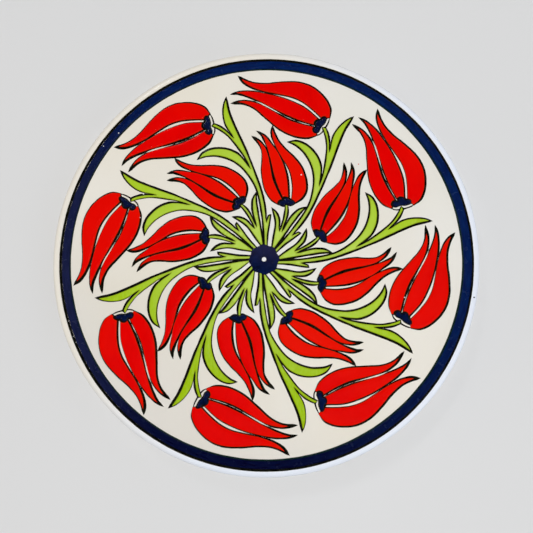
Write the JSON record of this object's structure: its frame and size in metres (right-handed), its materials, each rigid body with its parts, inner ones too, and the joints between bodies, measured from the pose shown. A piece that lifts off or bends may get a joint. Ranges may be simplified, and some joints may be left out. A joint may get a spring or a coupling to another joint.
{
  "type": "hand painted ceramic plate",
  "caption": "Round shallow glazed ceramic plate on a foot ring, hand painted with whirling red tulips and green leaves round a navy boss, inside a navy band.",
  "frame": {"origin": "centre of the foot ring's resting face", "axes": "+Z up out of the painted face; +X to the right and +Y up as the painted face is looked at, with one unit's first stem near +Y"},
  "size_m": [0.18, 0.18, 0.0138],
  "materials": {
    "biscuit": "matte fired clay",
    "foot_clay": "matte bare fired clay, unglazed",
    "glaze": "glossy cream-white glaze",
    "red_enamel": "glossy raised red enamel",
    "green_enamel": "glossy yellow-green enamel",
    "navy_enamel": "glossy navy enamel",
    "band_enamel": "glossy brushed navy enamel",
    "black_line": "black painted line work",
    "white_enamel": "glossy white enamel dot"
  },
  "bodies": {
    "root": {"well_body": "biscuit", "rim_body": "biscuit", "foot_ring": "foot_clay", "glaze_coat": "glaze", "rim_band": "band_enamel", "rim_lines": "black_line", "centre_boss": "navy_enamel", "centre_dot": "white_enamel", "outer_tulip_1": "red_enamel", "outer_tulip_2": "red_enamel", "outer_tulip_3": "red_enamel", "outer_tulip_4": "red_enamel", "outer_tulip_5": "red_enamel", "outer_tulip_6": "red_enamel", "outer_tulip_7": "red_enamel", "outer_tulip_8": "red_enamel", "inner_tulip_1": "red_enamel", "inner_tulip_2": "red_enamel", "inner_tulip_3": "red_enamel", "inner_tulip_4": "red_enamel", "inner_tulip_5": "red_enamel", "inner_tulip_6": "red_enamel", "inner_tulip_7": "red_enamel", "inner_tulip_8": "red_enamel", "outer_calyx_1": "navy_enamel", "outer_calyx_2": "navy_enamel", "outer_calyx_3": "navy_enamel", "outer_calyx_4": "navy_enamel", "outer_calyx_5": "navy_enamel", "outer_calyx_6": "navy_enamel", "outer_calyx_7": "navy_enamel", "outer_calyx_8": "navy_enamel", "inner_calyx_1": "navy_enamel", "inner_calyx_2": "navy_enamel", "inner_calyx_3": "navy_enamel", "inner_calyx_4": "navy_enamel", "inner_calyx_5": "navy_enamel", "inner_calyx_6": "navy_enamel", "inner_calyx_7": "navy_enamel", "inner_calyx_8": "navy_enamel", "leaf_spray_1": "green_enamel", "leaf_spray_2": "green_enamel", "leaf_spray_3": "green_enamel", "leaf_spray_4": "green_enamel", "leaf_spray_5": "green_enamel", "leaf_spray_6": "green_enamel", "leaf_spray_7": "green_enamel", "leaf_spray_8": "green_enamel", "leaf_tuft_1": "green_enamel", "leaf_tuft_2": "green_enamel", "leaf_tuft_3": "green_enamel", "leaf_tuft_4": "green_enamel", "leaf_tuft_5": "green_enamel", "leaf_tuft_6": "green_enamel", "leaf_tuft_7": "green_enamel", "leaf_tuft_8": "green_enamel", "outer_tulip_lines": "black_line", "inner_tulip_lines": "black_line", "spray_lines": "black_line", "tuft_lines": "black_line"}
  },
  "joints": []
}
